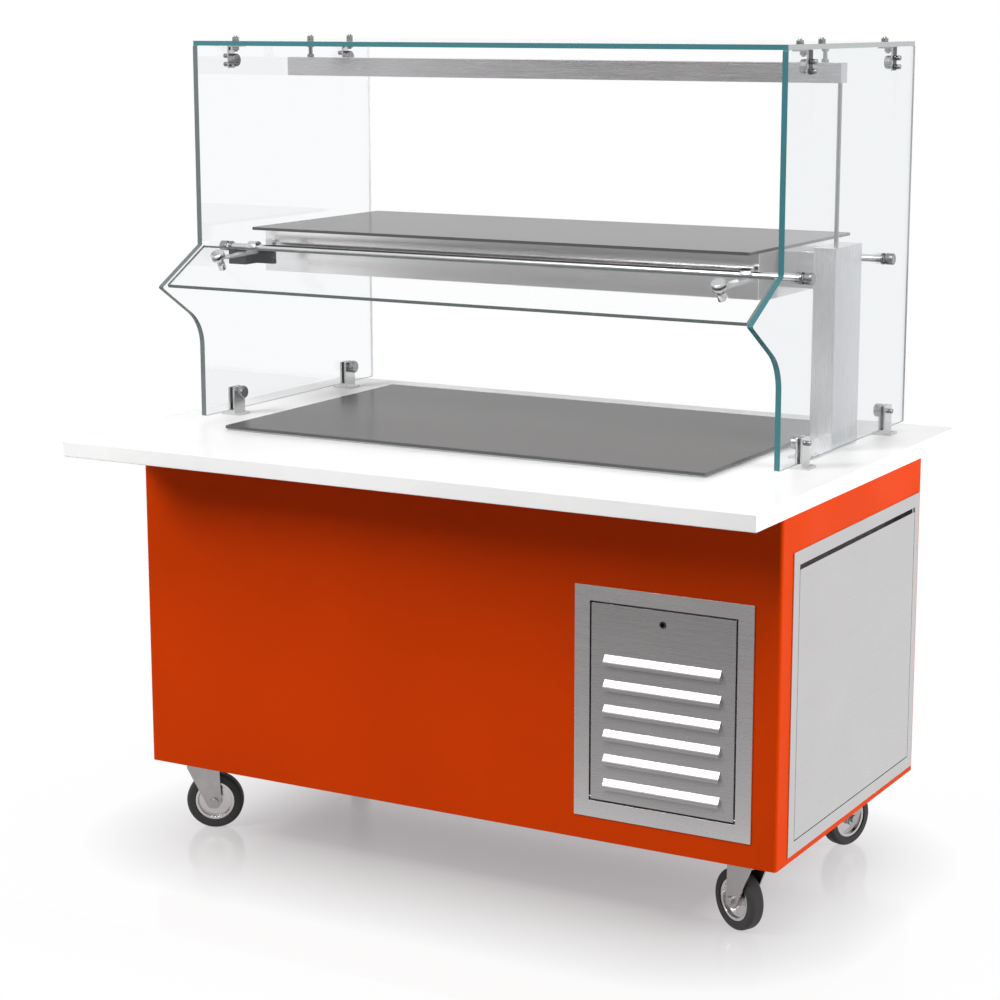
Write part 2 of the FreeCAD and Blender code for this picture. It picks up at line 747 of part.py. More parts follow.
def tie_rods():
    reach = glass_out + rod_knob_depth
    rods = []
    knobs = []
    for y in rod_lines:
        rod = cylinder(rod_diameter / 2, (-reach, y, rod_z), (1, 0, 0), 2 * reach)
        rods.append(rod)
        for side in (-1, 1):
            knob = cylinder(rod_knob_diameter / 2, (side * glass_out, y, rod_z), (side, 0, 0),
                            rod_knob_length)
            knob = knob.makeChamfer(rod_knob_chamfer, [knob.Edges[0], knob.Edges[2]])
            washer = cylinder(rod_knob_diameter / 2, (side * glass_in, y, rod_z), (-side, 0, 0),
                              rod_washer)
            knobs += [knob.cut(rod), washer.cut(rod)]
    parts["tie_rods"] = group(rods)
    return knobs


def slope(along, out):
    """A point in Y and Z on the nose: along it from the kink, and out of its outer face."""
    length = math.hypot(tip[0] - kink[0], tip[1] - kink[1])
    dy, dz = (tip[0] - kink[0]) / length, (tip[1] - kink[1]) / length
    return (kink[0] + dy * along + dz * out, kink[1] + dz * along - dy * out)


def nose():
    """The slanted pane and the two clamps that carry it on the front rod."""
    half = glass_in - nose_side_gap
    start = nose_top_gap
    pane = plate_x([slope(start, 0), slope(nose_length, 0), slope(nose_length, -nose_glass_thickness),
                    slope(start, -nose_glass_thickness)], [nose_edge_radius] * 4, -half, half)
    normal_y = slope(0, 1)[0] - slope(0, 0)[0]
    normal_z = slope(0, 1)[1] - slope(0, 0)[1]
    rod_y = rod_lines[0]
    inward = (0, -normal_y, -normal_z)
    thick = clamp_arm_thickness
    bite = jaw_bite
    under = nose_glass_thickness + jaw_thickness         # depth of the inner jaw's far face
    arms = []
    jaws = []
    for x in (-glass_in + clamp_left_margin, glass_in - clamp_right_margin):
        inside = slope(jaw_from_edge, -nose_glass_thickness)
        outside = slope(jaw_from_edge, 0)
        low_jaw = cylinder(jaw_diameter / 2, (x, *inside), inward, jaw_thickness)
        collar = cylinder(collar_diameter / 2, (x - clamp_width / 2, rod_y, rod_z), (1, 0, 0),
                          clamp_width)
        root = rod_z - clamp_arm_drop
        arm = plate_x([(rod_y, root + thick / 2), slope(jaw_from_edge, -under + bite),
                       slope(jaw_from_edge - clamp_arm_foot, -under - thick),
                       (rod_y, root - thick / 2)],
                      [0] * 4, x - clamp_width / 2, x + clamp_width / 2)
        arm = fused([collar, arm, low_jaw])
        arm = arm.cut(cylinder(rod_diameter / 2 + running_clearance, (x - clamp_width, rod_y, rod_z),
                               (1, 0, 0), 2 * clamp_width))
        knob_depth = under + thick + clamp_knob_gap
        bolt = cylinder(clamp_bolt_diameter / 2, (x, *slope(jaw_from_edge, jaw_thickness - bite)),
                        inward, jaw_thickness + knob_depth)
        jaw = cylinder(jaw_diameter / 2, (x, *outside), (0, normal_y, normal_z), jaw_thickness)
        jaw = jaw.makeChamfer(jaw_chamfer, [e for e in jaw.Edges if e.Closed][:1])
        knob = cylinder(clamp_knob_diameter / 2, (x, *slope(jaw_from_edge, -knob_depth)), inward,
                        clamp_knob_length)
        jaws.append(fused([jaw, bolt, knob]))
        pane = pane.cut(bolt)
        arms.append(arm.cut(jaws[-1]))
    parts["nose_glass"] = pane
    parts["nose_clamp_arms"] = group(arms)
    parts["nose_clamp_jaws"] = group(jaws)


# ---------------------------------------------------------------- mid shelf and upright
def shelf():
    body = box(shelf_left, shelf_right, shelf_front, shelf_back, shelf_body_bottom, shelf_body_top)
    wall = shelf_wall
    body = body.cut(box(shelf_left + wall, shelf_right - wall, shelf_front + wall,
                        shelf_back - wall, shelf_body_bottom + wall, shelf_body_top))
    parts["shelf_body"] = body
    half = shelf_glass_depth / 2
    over = shelf_glass_side_overhang
    glass = rounded_block(shelf_left - over, shelf_right + over, gantry_middle - half,
                          gantry_middle + half, shelf_body_top, shelf_glass_top,
                          shelf_glass_corner)
    parts["shelf_glass"] = glass
    brackets = []
    x0 = -glass_in + bracket_end_gap
    block_end = x0 + bracket_block_length
    plate_end = shelf_left + bracket_overlap
    high = rod_z - rod_diameter / 2
    for y, side in zip(rod_lines, (1, -1)):
        face = shelf_front if side > 0 else shelf_back
        y_plate = sorted((face, face - side * bracket_plate))
        y_block = sorted((face, y - side * bracket_block_depth / 2))
        plate = box(x0, plate_end, *y_plate, high - bracket_height, high)
        block = box(x0, block_end, *y_block, high - bracket_height, rod_z)
        rod = cylinder(rod_diameter / 2, (x0 - 1, y, rod_z), (1, 0, 0), bracket_block_length + 2)
        brackets.append(fused([plate, block]).cut(rod))
    parts["shelf_brackets"] = group(brackets)
    middle = (shelf_body_bottom + shelf_body_top) / 2
    y0 = upright_front + arm_inset
    y1 = upright_front + upright_depth - arm_inset
    z0, z1 = middle - arm_height / 2, middle + arm_height / 2
    arm = box(shelf_right, upright_left, y0, y1, z0, z1)
    inside = box(shelf_right, upright_left, y0 + arm_wall, y1 - arm_wall, z0 + arm_wall, z1 - arm_wall)
    parts["shelf_support_arm"] = arm.cut(inside)


def upright():
    bottom = worktop_top + foot_plate_thickness
    wall = upright_wall
    corner = upright_corner_radius
    post = rounded_block(upright_left, upright_right, upright_front, upright_back, bottom,
                         upright_top, corner)
    post = post.cut(rounded_block(upright_left + wall, upright_right - wall, upright_front + wall,
                                  upright_back - wall, bottom, upright_top - wall, corner - wall))
    parts["upright"] = post.cut(cylinder(conduit_bore / 2, (conduit_x, bar_line, upright_top - wall),
                                         (0, 0, 1), wall))
    left = upright_left - foot_plate_side
    right = upright_right + foot_plate_side
    front = upright_front - foot_plate_front_reach
    plate = rounded_block(left, right, front, upright_back + foot_plate_rear_reach, worktop_top,
                          bottom, corner)
    cable_y = (upright_front + upright_back) / 2
    plate = plate.cut(cylinder(cable_hole_diameter / 2, (upright_middle, cable_y, worktop_top),
                               (0, 0, 1), foot_plate_thickness))
    screws = []
    for x in (left + foot_screw_inset, right - foot_screw_inset):
        for row in (0, 1):
            spot = (x, front + foot_screw_inset + row * foot_screw_spacing)
            shank = cylinder(foot_screw_shank / 2, (*spot, worktop_top), (0, 0, 1), foot_plate_thickness)
            head = cylinder(foot_screw_diameter / 2, (*spot, bottom), (0, 0, 1), foot_screw_head)
            screws.append(fused([shank, head.makeChamfer(foot_screw_head / 3, [head.Edges[0]])]))
            plate = plate.cut(shank)
    parts["upright_foot_plate"] = plate
    parts["upright_screws"] = group(screws)


# ---------------------------------------------------------------- light bar
def light_bar():
    """The light bar on its two rods, its conduit and what it holds; gives the rods and nuts."""
    left = -glass_in + bar_end_gaps[0]
    right = glass_in - bar_end_gaps[1]
    top = glass_top - bar_drop
    bottom = top - bar_height
    y0, y1 = bar_line - bar_depth / 2, bar_line + bar_depth / 2
    wall = bar_wall
    housing = box(left, right, y0, y1, bottom, top)
    housing = housing.cut(box(left + wall, right - wall, y0 + wall, y1 - wall, bottom, top - wall))
    rod_bottom = top - wall - bar_rod_grip
    rods = []
    nuts = []
    for side, inset in zip((-1, 1), bar_rod_insets):
        x = side * (glass_out - inset)
        rod = cylinder(bar_rod_diameter / 2, (x, bar_line, rod_bottom), (0, 0, 1),
                       pane_top + nut_height + bolt_stand - rod_bottom)
        rods.append(rod)
        housing = housing.cut(rod)
        for z in (top, glass_top - nut_height, pane_top):
            nuts.append(hexagon(nut_diameter, (x, bar_line, z), nut_height).cut(rod))
    parts["light_housing"] = housing
    conduit = cylinder(conduit_diameter / 2, (conduit_x, bar_line, upright_top), (0, 0, 1),
                       bottom + conduit_reach - upright_top)
    parts["light_conduit"] = conduit
    low = bottom + diffuser_lift
    diffuser = box(left + wall, right - wall, y0 + wall, y1 - wall, low, low + diffuser_thickness)
    parts["light_diffuser"] = diffuser.cut(conduit)
    width, height = led_board
    board_top = rod_bottom - led_board_drop
    board = box(left + led_board_end_gap, conduit_x - led_board_end_gap, bar_line - width / 2,
                bar_line + width / 2, board_top - height, board_top)
    rib = box(left + led_rib_margins[0], conduit_x - led_rib_margins[1],
              bar_line - led_rib_width / 2, bar_line + led_rib_width / 2, board_top, top - wall)
    parts["led_board"] = fused([board, rib])
    return rods + nuts


def hexagon(across, base, height):
    """A nut's outside, standing on its base point."""
    radius = across / math.sqrt(3)
    x, y, z = base
    points = [(x + radius * math.cos(math.radians(60 * i)), y + radius * math.sin(math.radians(60 * i)))
              for i in range(6)]
    return plate_z(points, [0] * 6, z, z + height)


# ---------------------------------------------------------------- glass feet and top brackets
def glass_fittings():
    feet = []
    brackets = []
    knobs = tie_rods()
    nuts = []
    base_x, base_y, base_z = foot_base
    leg_width, leg_height, leg_thick = bracket_leg
    for side in (-1, 1):
        middle = side * (glass_out - glass_thickness / 2)
        inner = side * glass_in
        bolt_x = side * (glass_out - nut_inset)
        for y in fitting_lines:
            feet.append(foot(middle, y, base_x, base_y, base_z))
            cheek = cheek_gap + cheek_thickness
            knobs.append(clamp_knob(side, y, foot_screw_levels, cheek, cheek))
            xs = sorted((inner, inner - side * leg_thick))
            leg = box(*xs, y - leg_width / 2, y + leg_width / 2, glass_top - leg_height, glass_top)
            xs = sorted((inner, inner - side * top_bracket_reach))
            arm = box(*xs, y - leg_width / 2, y + leg_width / 2, glass_top - leg_thick, glass_top)
            low = glass_top - leg_thick - nut_height
            stud = cylinder(stud_diameter / 2, (bolt_x, y, low - bolt_stand), (0, 0, 1),
                            pane_top + nut_height + 2 * bolt_stand - low)
            nuts.append(fused([stud, hexagon(nut_diameter, (bolt_x, y, pane_top), nut_height),
                               hexagon(nut_diameter, (bolt_x, y, low), nut_height)]))
            knobs.append(clamp_knob(side, y, bracket_screw_levels, leg_thick, 0))
            brackets.append(fused([leg, arm]).cut(stud).cut(knobs[-1]))
    parts["glass_feet"] = group(feet)
    parts["top_brackets"] = group(brackets)
    parts["glass_knobs"] = group(knobs)
    return nuts


def clamp_knob(side, y, levels, inner, outer):
    """A knob on the glass's inner side, and the screws that draw it tight from outside.

    levels are the heights of the screws; inner and outer are the thickness of what lies
    between the glass and the knob, and between the glass and the screw heads.
    """
    start = side * (glass_in - inner)
    end = side * (glass_out + outer)
    body = cylinder(knob_diameter / 2, (start, y, sum(levels) / len(levels)), (-side, 0, 0), knob_length)
    far = start - side * knob_length
    rim = [e for e in body.Edges if e.Closed and abs(e.BoundBox.Center.x - far) < 0.01]
    pieces = [body.makeFillet(knob_round, rim)]
    head_diameter, head_height = clamp_screw_head
    for z in levels:
        pieces.append(cylinder(clamp_screw_diameter / 2, (start, y, z), (side, 0, 0), abs(end - start)))
        pieces.append(cylinder(head_diameter / 2, (end, y, z), (side, 0, 0), head_height))
    return fused(pieces)


def foot(middle, y, base_x, base_y, base_z):
    """A base plate with two cheeks that hold the end panel between them."""
    base = box(middle - base_x / 2, middle + base_x / 2, y - base_y / 2, y + base_y / 2,
               worktop_top, worktop_top + base_z)
    cheeks = []
    reach = glass_thickness / 2 + cheek_gap
    for way in (-1, 1):
        xs = sorted((middle + way * reach, middle + way * (reach + cheek_thickness)))
        cheeks.append(box(xs[0], xs[1], y - base_y / 2, y + base_y / 2, worktop_top + base_z,
                          worktop_top + base_z + cheek_height))
    pad = box(middle - reach, middle + reach, y - base_y / 2, y + base_y / 2, worktop_top + base_z,
              glass_bottom)
    whole = fused([base, pad] + cheeks)
    hole = cylinder(clamp_screw_diameter / 2, (middle - base_x, y, foot_screw_levels[0]), (1, 0, 0),
                    2 * base_x)
    return whole.cut(hole)


# ---------------------------------------------------------------- cooling unit
def cooling_unit():
    """The tray with the condenser, its fan and the compressor, one behind the other."""
    x1 = cabinet_half - unit_right_margin
    x0 = x1 - unit_length
    y0 = cabinet_front + unit_front_margin
    y1 = y0 + unit_depth
    z0 = floor_pan_top
    tray = box(x0, x1, y0, y1, z0, z0 + tray_lip)
    parts["unit_tray"] = tray.cut(box(x0 + tray_wall, x1 - tray_wall, y0 + tray_wall,
                                      y1 - tray_wall, z0 + tray_wall, z0 + tray_lip))
    middle = (x0 + x1) / 2
    bottom = z0 + tray_wall
    width, depth, height = condenser
    front = y0 + condenser_setback
    core = box(middle - width / 2, middle + width / 2, front, front + depth, bottom, bottom + height)
    slot_depth, slot_height = fin_slot
    slot_pitch = (height - 2 * fin_margin) / fin_slots
    for i in range(fin_slots):
        z = bottom + fin_margin + i * slot_pitch
        core = core.cut(box(middle - width / 2 + condenser_rim, middle + width / 2 - condenser_rim,
                            front, front + slot_depth, z, z + slot_height))
    parts["condenser"] = core
    fan((middle - width / 2, middle + width / 2, bottom, bottom + height), front + depth)
    foot_x, foot_y, foot_z = compressor_foot
    can_y = y1 - compressor_rear_gap - foot_y / 2
    base = box(middle - foot_x / 2, middle + foot_x / 2, can_y - foot_y / 2, can_y + foot_y / 2,
               bottom, bottom + foot_z)
    can = cylinder(compressor_diameter / 2, (middle, can_y - compressor_set_forward, bottom + foot_z),
                   (0, 0, 1), compressor_height)
    can = can.makeFillet(compressor_round, [e for e in can.Edges if e.Closed])
    parts["compressor"] = fused([base, can])


def fan(square, start):
    """The shroud with the motor on its arms, and the rotor on the motor's shaft."""
    x0, x1, z0, z1 = square
    x, z = (x0 + x1) / 2, (z0 + z1) / 2
    along = (0, 1, 0)
    shroud = box(x0, x1, start, start + shroud_depth, z0, z1)
    shroud = shroud.cut(cylinder(fan_diameter / 2 + shroud_clearance, (x, start, z), along, shroud_depth))
    back = start + shroud_depth
    arm_height, arm_thickness = motor_arm
    limit = box(x0, x1, back, back + arm_thickness, z0, z1)
    long = x1 - x0
    pieces = [shroud]
    for angle in (45, 135):
        arm = box(-long, long, back, back + arm_thickness, -arm_height / 2, arm_height / 2)
        arm.rotate(Vector(0, back, 0), Vector(0, 1, 0), angle)
        arm.translate(Vector(x, 0, z))
        pieces.append(arm.common(limit))
    pieces.append(cylinder(motor_diameter / 2, (x, back, z), along, motor_length))
    pieces.append(cylinder(motor_shaft_diameter / 2, (x, start + motor_shaft_end_gap, z), along,
                           shroud_depth - motor_shaft_end_gap))
    parts["fan_shroud"] = fused(pieces)
    rotor_front = back - fan_arm_gap - fan_depth
    rotor = [cylinder(fan_hub_diameter / 2, (x, rotor_front, z), along, fan_depth)]
    for i in range(fan_blades):
        blade = box(fan_hub_diameter / 2 - fan_blade_root, fan_diameter / 2,
                    -fan_blade_thickness / 2, fan_blade_thickness / 2,
                    -fan_blade_chord / 2, fan_blade_chord / 2)
        blade.rotate(Vector(0, 0, 0), Vector(1, 0, 0), fan_blade_pitch)
        blade.rotate(Vector(0, 0, 0), Vector(0, 1, 0), 360.0 * i / fan_blades)
        blade.translate(Vector(x, rotor_front + fan_depth / 2, z))
        rotor.append(blade)
    swept = cylinder(fan_diameter / 2, (x, rotor_front - fan_blade_proud, z), along,
                     fan_depth + 2 * fan_blade_proud)
    bore = cylinder(motor_shaft_diameter / 2 + running_clearance, (x, start, z), along, shroud_depth)
    parts["fan_rotor"] = fused(rotor).common(swept).cut(bore)


# ---------------------------------------------------------------- castors
castor_sites = (
    ("front_left", -1, -1, front_castor_inset_x, 29.0),
    ("front_right", 1, -1, front_castor_inset_x, 152.0),
    ("rear_left", -1, 1, rear_castor_inset_x, 300.0),
    ("rear_right", 1, 1, rear_castor_inset_x, 250.0),
)


def castor_stem(side_x, side_y, inset_x):
    x = side_x * (cabinet_half - inset_x)
    y = cabinet_front + castor_inset_y if side_y < 0 else cabinet_back - castor_inset_y
    return x, y


def castors():
    plates = []
    for name, side_x, side_y, inset_x, trail in castor_sites:
        x, y = castor_stem(side_x, side_y, inset_x)
        plates.append(castor_top(x, y))
        place = Vector(x, y, 0)
        for node, shape in castor_pieces().items():
            shape.rotate(Vector(0, 0, 0), Vector(0, 0, 1), trail)
            shape.translate(place)
            parts[f"{node}_{name}"] = shape
    parts["castor_plates"] = group(plates)


race_bottom = castor_height - castor_plate[2] - race_height
crown_top = race_bottom - swivel_gap
crown_bottom = crown_top - fork_crown


def castor_top(x, y):
    """Mounting plate, ball race and king pin, fixed to the cabinet."""
    length, width, thick = castor_plate
    z = castor_height - thick
    plate = rounded_block(x - length / 2, x + length / 2, y - width / 2, y + width / 2, z,
                          castor_height, castor_plate_corner)
    race = cylinder(race_diameter / 2, (x, y, race_bottom), (0, 0, 1), race_height)
    race = race.makeChamfer(race_chamfer, [race.Edges[2]])
    head_d, head_h = king_head
    head_top = crown_bottom - swivel_gap
    pin = cylinder(king_pin_diameter / 2, (x, y, head_top), (0, 0, 1), race_bottom - head_top)
    head = cylinder(head_d / 2, (x, y, head_top - head_h), (0, 0, 1), head_h)
    return fused([plate, race, pin, head])


def castor_pieces():
    """Fork with axle, rim and tyre, with the stem at the origin and the wheel trailing to +X."""
    inner = tyre_width / 2 + fork_side_gap
    outer = inner + fork_plate
    ahead, behind = fork_top_reach
    outline = [(-ahead, crown_top), (behind, crown_top)]
    outline += [(castor_offset + x, axle_z + z) for x, z in fork_foot]
    legs = []
    for y0, y1 in ((-outer, -inner), (inner, outer)):
        wire = rounded_loop(outline, fork_corner_radii, lambda p, y=y0: Vector(p.x, y, p.y))
        legs.append(Part.Face(wire).extrude(Vector(0, y1 - y0, 0)))
    ahead, behind = fork_crown_reach
    crown = box(-ahead, behind, -outer, outer, crown_bottom, crown_top)
    pin_hole = cylinder(king_pin_diameter / 2 + running_clearance, (0, 0, crown_bottom), (0, 0, 1),
                        fork_crown)
    axle = axle_bolt(outer)
    fork = fused([crown] + legs).cut(pin_hole).cut(axle)
    hub_half = inner - swivel_gap
    rim_radius = rim_diameter / 2
    across = (0, 1, 0)
    rim_half = tyre_width / 2 - rim_set_in
    rim = fused([ring(rim_radius, rim_radius - rim_wall, (castor_offset, -rim_half, axle_z), across,
                      2 * rim_half),
                 cylinder(rim_radius - rim_wall / 2, (castor_offset, -rim_web / 2, axle_z), across,
                          rim_web),
                 cylinder(hub_diameter / 2, (castor_offset, -hub_half, axle_z), across, 2 * hub_half)])
    rim = rim.cut(cylinder(axle_diameter / 2 + running_clearance, (castor_offset, -outer, axle_z),
                           across, 2 * outer))
    tyre = ring(wheel_radius, rim_radius, (castor_offset, -tyre_width / 2, axle_z), across, tyre_width)
    shoulders = [e for e in tyre.Edges if e.Closed and e.Curve.Radius > (rim_radius + wheel_radius) / 2]
    tyre = tyre.makeFillet(tyre_shoulder, shoulders)
    return {"castor_fork": group([fork, axle]), "wheel_rim": rim, "tyre": tyre}


def axle_bolt(outer):
    """The axle through both legs, with its head and nut outside them."""
    head_diameter, head_height = axle_head
    pieces = [cylinder(axle_diameter / 2, (castor_offset, -outer, axle_z), (0, 1, 0), 2 * outer)]
    for way in (-1, 1):
        pieces.append(cylinder(head_diameter / 2, (castor_offset, way * outer, axle_z), (0, way, 0),
                               head_height))
    return fused(pieces)


# ---------------------------------------------------------------- build
cabinet()
worktop()
deck()
parts["hinge_pins"] = group(louvre_door() + side_door())
lock()
gantry_glass()
nose()
shelf()
upright()
parts["top_fixings"] = group(light_bar() + glass_fittings())
cooling_unit()
castors()

os.makedirs("parts", exist_ok=True)
for node, shape in parts.items():
    if not shape.isValid():
        print("not valid:", node)
    shape.exportStep(f"parts/{node}.step")
print(len(parts), "nodes,", sum(len(s.Solids) for s in parts.values()), "solids")
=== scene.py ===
# %% [markdown]
# # A mobile salad bar
#
# The counter stands on four castors.  An orange cabinet carries a white worktop with a cold glass
# deck, and a glass gantry with a shelf and a light bar stands on it.
#
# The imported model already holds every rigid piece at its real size.  So this script keeps those
# pieces, gives each one its finish, and models again only what needs softer or finer shapes.

# %% Load the frame
import json
import math

import bpy
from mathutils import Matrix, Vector


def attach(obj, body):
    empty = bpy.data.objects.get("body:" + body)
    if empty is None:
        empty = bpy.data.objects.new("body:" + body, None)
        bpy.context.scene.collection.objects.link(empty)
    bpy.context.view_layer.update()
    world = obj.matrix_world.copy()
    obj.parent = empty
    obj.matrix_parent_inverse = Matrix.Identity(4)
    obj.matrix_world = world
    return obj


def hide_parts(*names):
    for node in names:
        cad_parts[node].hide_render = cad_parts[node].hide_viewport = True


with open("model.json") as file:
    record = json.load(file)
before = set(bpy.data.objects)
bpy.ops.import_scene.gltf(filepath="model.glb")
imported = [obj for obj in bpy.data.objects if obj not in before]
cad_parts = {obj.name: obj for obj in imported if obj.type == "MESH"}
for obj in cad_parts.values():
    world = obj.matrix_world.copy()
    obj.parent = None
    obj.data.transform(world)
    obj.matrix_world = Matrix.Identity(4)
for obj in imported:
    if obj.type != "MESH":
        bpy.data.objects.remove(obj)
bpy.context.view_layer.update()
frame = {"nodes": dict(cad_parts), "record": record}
nodes = frame["nodes"]
print(len(nodes), "pieces from the frame")

# %% [markdown]
# ## The camera
#
# The photograph was taken from the right of the front, a little above the counter, with a long
# lens.  A camera could be placed by eye, but a few degrees off bend every line.  So its place, its
# lens and the small shift were fitted to the counter's straight edges in the photograph.

# %% Camera
camera_place = Vector((2.468, -4.426, 1.776))
camera_turn = math.radians(29.2)
camera_tilt = math.radians(11.1)
lens_length = 87.57
frame_shift = (-0.0136, -0.0095)
farthest_seen = 100.0
camera = bpy.data.objects.new("camera", bpy.data.cameras.new("camera"))
bpy.context.scene.collection.objects.link(camera)
camera.location = camera_place
camera.rotation_euler = (math.pi / 2 - camera_tilt, 0.0, camera_turn)
camera.data.lens = lens_length
camera.data.shift_x, camera.data.shift_y = frame_shift
camera.data.clip_end = farthest_seen
bpy.context.scene.camera = camera
print("camera at", [round(value, 2) for value in camera.location])

# %% [markdown]
# ## Helpers for materials
#
# A material in Blender is a small network of nodes.  Each finish below starts from the same two
# steps, a new material and one more node joined to it, so these are written once.

# %% Material helpers
def material(name):
    """A new material; gives it with its node tree and its Principled shader."""
    made = bpy.data.materials.new(name)
    made.use_nodes = True
    tree = made.node_tree
    return made, tree, tree.nodes["Principled BSDF"]


def add(tree, kind, **settings):
    """A new node of a kind, with its settings."""
    node = tree.nodes.new(kind)
    for key, value in settings.items():
        setattr(node, key, value)
    return node


def wear(node_name, made):
    """Gives one piece of the frame its finish."""
    piece = nodes[node_name]
    piece.data.materials.clear()
    piece.data.materials.append(made)


def sockets(group, places):
    """Named sockets on a node group: (name, INPUT or OUTPUT, type, value)."""
    for name, side, kind, value in places:
        socket = group.interface.new_socket(name, in_out=side, socket_type="NodeSocket" + kind)
        if value is not None:
            socket.default_value = value


def shared(tree, group, **values):
    """One use of a node group in a material, with its own values."""
    node = add(tree, "ShaderNodeGroup", node_tree=group)
    for name, value in values.items():
        node.inputs[name].default_value = value
    return node


print("material helpers ready")

# %% [markdown]
# ## Effects that several finishes share
#
# *Cloud* varies a colour slowly over a surface, as no real sheet is quite even.  *Grain* is the
# fine scratching of brushed steel: noise that is stretched over a hundred times one way.
# *Edge* finds the narrow band along each edge, where paint is rubbed thin, and rounds its shading.
# Each one is a node group, so that it is built once and every finish only gives it values.

# %% Cloud group
noise_low, noise_high = 0.3, 0.7  # noise seldom leaves this range
cloud = bpy.data.node_groups.new("cloud", "ShaderNodeTree")
sockets(cloud, (("Scale", "INPUT", "Float", 3.0), ("Low", "INPUT", "Float", 0.9),
                ("High", "INPUT", "Float", 1.1), ("Value", "OUTPUT", "Float", None)))
entry, leave = add(cloud, "NodeGroupInput"), add(cloud, "NodeGroupOutput")
place = add(cloud, "ShaderNodeTexCoord")
noise = add(cloud, "ShaderNodeTexNoise")
noise.inputs["Detail"].default_value = 4.0
spread = add(cloud, "ShaderNodeMapRange")
spread.inputs["From Min"].default_value = noise_low
spread.inputs["From Max"].default_value = noise_high
cloud.links.new(place.outputs["Object"], noise.inputs["Vector"])
cloud.links.new(entry.outputs["Scale"], noise.inputs["Scale"])
cloud.links.new(noise.outputs["Fac"], spread.inputs["Value"])
cloud.links.new(entry.outputs["Low"], spread.inputs["To Min"])
cloud.links.new(entry.outputs["High"], spread.inputs["To Max"])
cloud.links.new(spread.outputs["Result"], leave.inputs["Value"])
print("cloud group made")

# %% Grain group
grain = bpy.data.node_groups.new("grain", "ShaderNodeTree")
sockets(grain, (("Stretch", "INPUT", "Vector", (10.0, 1500.0, 1500.0)),
                ("Low", "INPUT", "Float", 0.9), ("High", "INPUT", "Float", 1.1),
                ("Value", "OUTPUT", "Float", None), ("Height", "OUTPUT", "Float", None)))
entry, leave = add(grain, "NodeGroupInput"), add(grain, "NodeGroupOutput")
place = add(grain, "ShaderNodeTexCoord")
stretch = add(grain, "ShaderNodeMapping")
noise = add(grain, "ShaderNodeTexNoise")
noise.inputs["Scale"].default_value = 1.0
noise.inputs["Detail"].default_value = 3.0
spread = add(grain, "ShaderNodeMapRange")
spread.inputs["From Min"].default_value = noise_low
spread.inputs["From Max"].default_value = noise_high
grain.links.new(place.outputs["Object"], stretch.inputs["Vector"])
grain.links.new(entry.outputs["Stretch"], stretch.inputs["Scale"])
grain.links.new(stretch.outputs["Vector"], noise.inputs["Vector"])
grain.links.new(noise.outputs["Fac"], spread.inputs["Value"])
grain.links.new(entry.outputs["Low"], spread.inputs["To Min"])
grain.links.new(entry.outputs["High"], spread.inputs["To Max"])
grain.links.new(spread.outputs["Result"], leave.inputs["Value"])
grain.links.new(noise.outputs["Fac"], leave.inputs["Height"])
print("grain group made")

# %% Edge group
on_a_flat, on_an_edge = 1.0, 0.8  # how far the rounded and the true direction agree
edge = bpy.data.node_groups.new("edge", "ShaderNodeTree")
sockets(edge, (("Radius", "INPUT", "Float", 0.0015), ("Mask", "OUTPUT", "Float", None),
               ("Normal", "OUTPUT", "Vector", None)))
entry, leave = add(edge, "NodeGroupInput"), add(edge, "NodeGroupOutput")
rounded = add(edge, "ShaderNodeBevel", samples=6)
facing = add(edge, "ShaderNodeNewGeometry")
alike = add(edge, "ShaderNodeVectorMath", operation="DOT_PRODUCT")
spread = add(edge, "ShaderNodeMapRange")
spread.inputs["From Min"].default_value = on_a_flat
spread.inputs["From Max"].default_value = on_an_edge
edge.links.new(entry.outputs["Radius"], rounded.inputs["Radius"])
edge.links.new(rounded.outputs["Normal"], alike.inputs[0])
edge.links.new(facing.outputs["Normal"], alike.inputs[1])
edge.links.new(alike.outputs["Value"], spread.inputs["Value"])
edge.links.new(spread.outputs["Result"], leave.inputs["Mask"])
edge.links.new(rounded.outputs["Normal"], leave.inputs["Normal"])
print("edge group made")

# %% [markdown]
# ## The orange powder coat
#
# The cabinet's sheets are powder coated.  Powder melts into a hard satin skin with a fine orange
# peel, which shows as a soft unevenness in the gloss.  The peel is a bump from small noise, and
# the colour drifts a little from place to place.

# %% Powder coat
peel_depth = 0.001
rubbed_keeps, rubbed_adds = 0.6, 0.3  # a rubbed edge keeps part of its colour and turns paler


